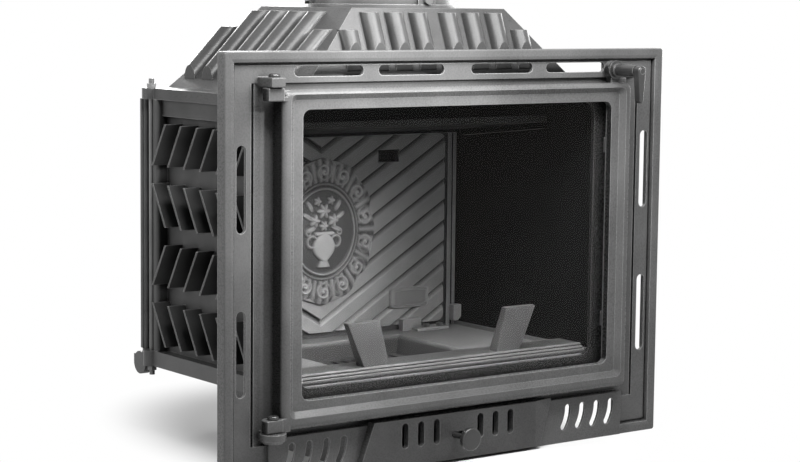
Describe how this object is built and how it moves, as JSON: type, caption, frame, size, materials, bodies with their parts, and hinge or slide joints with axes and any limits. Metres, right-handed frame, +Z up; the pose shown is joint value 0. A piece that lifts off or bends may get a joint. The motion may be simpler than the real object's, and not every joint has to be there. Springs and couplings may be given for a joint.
{
  "type": "fireplace insert",
  "caption": "Cast iron fireplace insert with a glazed door hinged on the left, a turning latch, an ash drawer with an air slide, finned walls and a ribbed smoke hood under a round flue collar.",
  "frame": {"origin": "on the ground plane under the ash box, straight below the axis of the flue collar", "axes": "+X to the right seen from the front, +Y from the front frame to the back, +Z up along the flue axis"},
  "size_m": [0.775, 0.476, 0.704],
  "materials": {
    "graphite_iron": "matt graphite paint on cast iron",
    "firebox_iron": "matt bare cast iron",
    "fittings": "satin black",
    "bolt_steel": "zinc plated, dull",
    "sheet_steel": "dark sheet steel",
    "sealing_rope": "dark woven glass fibre",
    "glass": "clear heat-proof glass ceramic"
  },
  "bodies": {
    "firebox": {"front_frame": "graphite_iron", "left_wall": "graphite_iron", "right_wall": "graphite_iron", "rear_wall": "graphite_iron", "base_plate": "graphite_iron", "hood": "graphite_iron", "hood_ribs": "graphite_iron", "flue_collar": "graphite_iron", "collar_bolts": "bolt_steel", "tie_rods": "bolt_steel", "tie_rod_nuts": "bolt_steel", "frame_bolts": "bolt_steel", "hinge_pins": "fittings", "latch_keeper": "graphite_iron", "fireback": "firebox_iron", "fireback_stops": "firebox_iron", "stop_bolts": "bolt_steel", "baffle_plate": "firebox_iron", "grate": "firebox_iron", "front_sill": "firebox_iron", "log_guard": "firebox_iron", "ash_box": "graphite_iron"},
    "door": {"door_frame": "graphite_iron", "door_glass": "glass", "glass_gasket": "sealing_rope", "glass_clips": "sheet_steel", "clip_screws": "bolt_steel", "door_rope": "sealing_rope", "latch_washer": "fittings"},
    "latch": {"latch_spindle": "fittings", "latch_lever": "fittings", "latch_tongue": "fittings"},
    "ash_drawer": {"drawer_front": "graphite_iron", "ash_pan": "sheet_steel", "pan_screws": "bolt_steel", "shutter_guides": "sheet_steel"},
    "air_slide": {"air_shutter": "sheet_steel", "knob_stem": "fittings", "air_knob": "fittings"}
  },
  "joints": [
    {"name": "door_hinge", "type": "hinge", "parent": "firebox", "child": "door", "pos_m": [-0.321, -0.203, 0.3], "axis": [0, 0, -1], "range_deg": [0, 115]},
    {"name": "latch_turn", "type": "hinge", "parent": "door", "child": "latch", "pos_m": [0.284, -0.2, 0.552], "axis": [0, -1, 0], "range_deg": [0, 90]},
    {"name": "ash_drawer_slide", "type": "slide", "parent": "firebox", "child": "ash_drawer", "axis": [0, -1, 0], "range_m": [0, 0.26]},
    {"name": "air_slide_slide", "type": "slide", "parent": "ash_drawer", "child": "air_slide", "axis": [1, 0, 0], "range_m": [0, 0.0135]}
  ]
}
